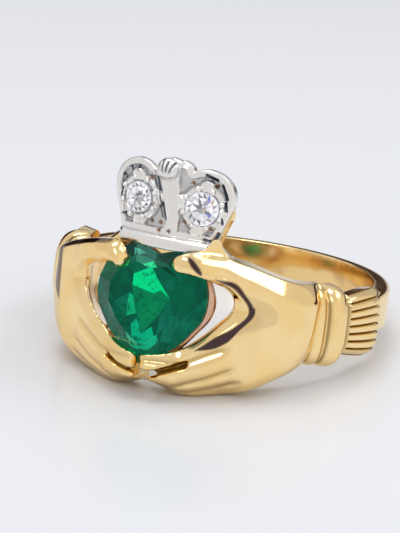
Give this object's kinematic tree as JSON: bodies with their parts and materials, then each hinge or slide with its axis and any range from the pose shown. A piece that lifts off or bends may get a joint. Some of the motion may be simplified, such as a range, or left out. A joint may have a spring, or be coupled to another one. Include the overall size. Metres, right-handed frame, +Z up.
{
  "type": "claddagh ring",
  "caption": "Yellow gold finger ring of two hands that hold a green heart stone under a white crown with round stones.",
  "frame": {"origin": "middle of the ring's footprint on the surface it lies on", "axes": "+Z up from the surface, -Y towards the ring's face with the heart, X across the two hands"},
  "size_m": [0.02, 0.0222, 0.0131],
  "materials": {
    "yellow_gold": "polished",
    "white_gold": "polished, engraved fields",
    "emerald": "cut and polished",
    "diamond": "cut and polished"
  },
  "bodies": {
    "root": {"ring_body": "yellow_gold", "crown": "white_gold", "heart_stone": "emerald", "diamond_left": "diamond", "diamond_right": "diamond"}
  },
  "joints": []
}
